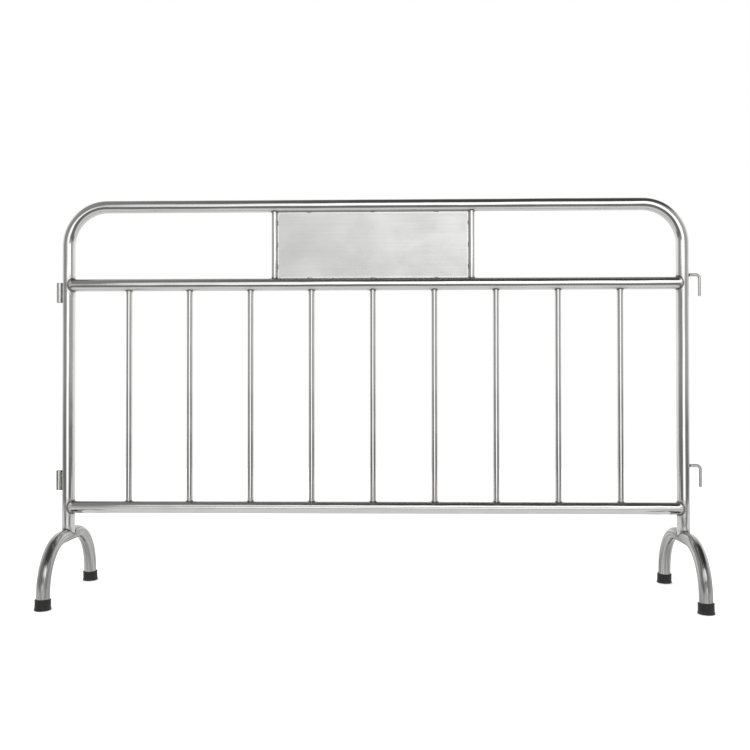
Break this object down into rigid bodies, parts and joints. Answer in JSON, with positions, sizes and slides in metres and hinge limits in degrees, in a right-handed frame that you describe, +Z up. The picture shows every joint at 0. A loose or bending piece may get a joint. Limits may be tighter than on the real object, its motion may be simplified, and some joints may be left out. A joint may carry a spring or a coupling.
{
  "type": "crowd control barrier",
  "caption": "Free-standing welded tubular crowd barrier: bent hoop frame with rails and upright bars, sign plate, arched feet, coupling hooks and sleeves.",
  "frame": {"origin": "on the floor, under the middle of the overall length and midway between the front and rear feet", "axes": "+X along the barrier from the sleeve end to the hook end, +Y from front to rear, +Z up"},
  "size_m": [1.9555, 0.4324, 1.2],
  "materials": {
    "stainless_tube": "stainless steel tube, machine polished to a near mirror",
    "stainless_bar": "thin stainless steel tube, polished",
    "stainless_foot": "stainless steel tube, polished, with ground satin areas near the weld",
    "stainless_rod": "round stainless steel rod, satin",
    "stainless_sleeve": "cut stainless steel tube, satin",
    "stainless_sheet": "stainless steel sheet, brushed lengthways",
    "weld_metal": "stainless steel weld bead, rippled, lightly heat tinted",
    "rubber_cap": "moulded black rubber, matt"
  },
  "bodies": {
    "root": {"hoop_tube": "stainless_tube", "mid_rail": "stainless_tube", "bottom_rail": "stainless_tube", "sign_bar_left": "stainless_bar", "sign_bar_right": "stainless_bar", "sign_plate": "stainless_sheet", "foot_arch_left": "stainless_foot", "foot_arch_right": "stainless_foot", "foot_cap_front_left": "rubber_cap", "foot_cap_rear_left": "rubber_cap", "foot_cap_front_right": "rubber_cap", "foot_cap_rear_right": "rubber_cap", "coupling_hook_upper": "stainless_rod", "coupling_hook_lower": "stainless_rod", "coupling_sleeve_upper": "stainless_sleeve", "coupling_sleeve_lower": "stainless_sleeve", "bar_1": "stainless_bar", "bar_2": "stainless_bar", "bar_3": "stainless_bar", "bar_4": "stainless_bar", "bar_5": "stainless_bar", "bar_6": "stainless_bar", "bar_7": "stainless_bar", "bar_8": "stainless_bar", "bar_9": "stainless_bar", "weld_mid_rail": "weld_metal", "weld_bottom_rail": "weld_metal", "weld_bars_top": "weld_metal", "weld_bars_bottom": "weld_metal", "weld_sign_bars": "weld_metal", "weld_sign_tacks": "weld_metal", "weld_feet": "weld_metal", "weld_hooks": "weld_metal", "weld_sleeves": "weld_metal"}
  },
  "joints": []
}
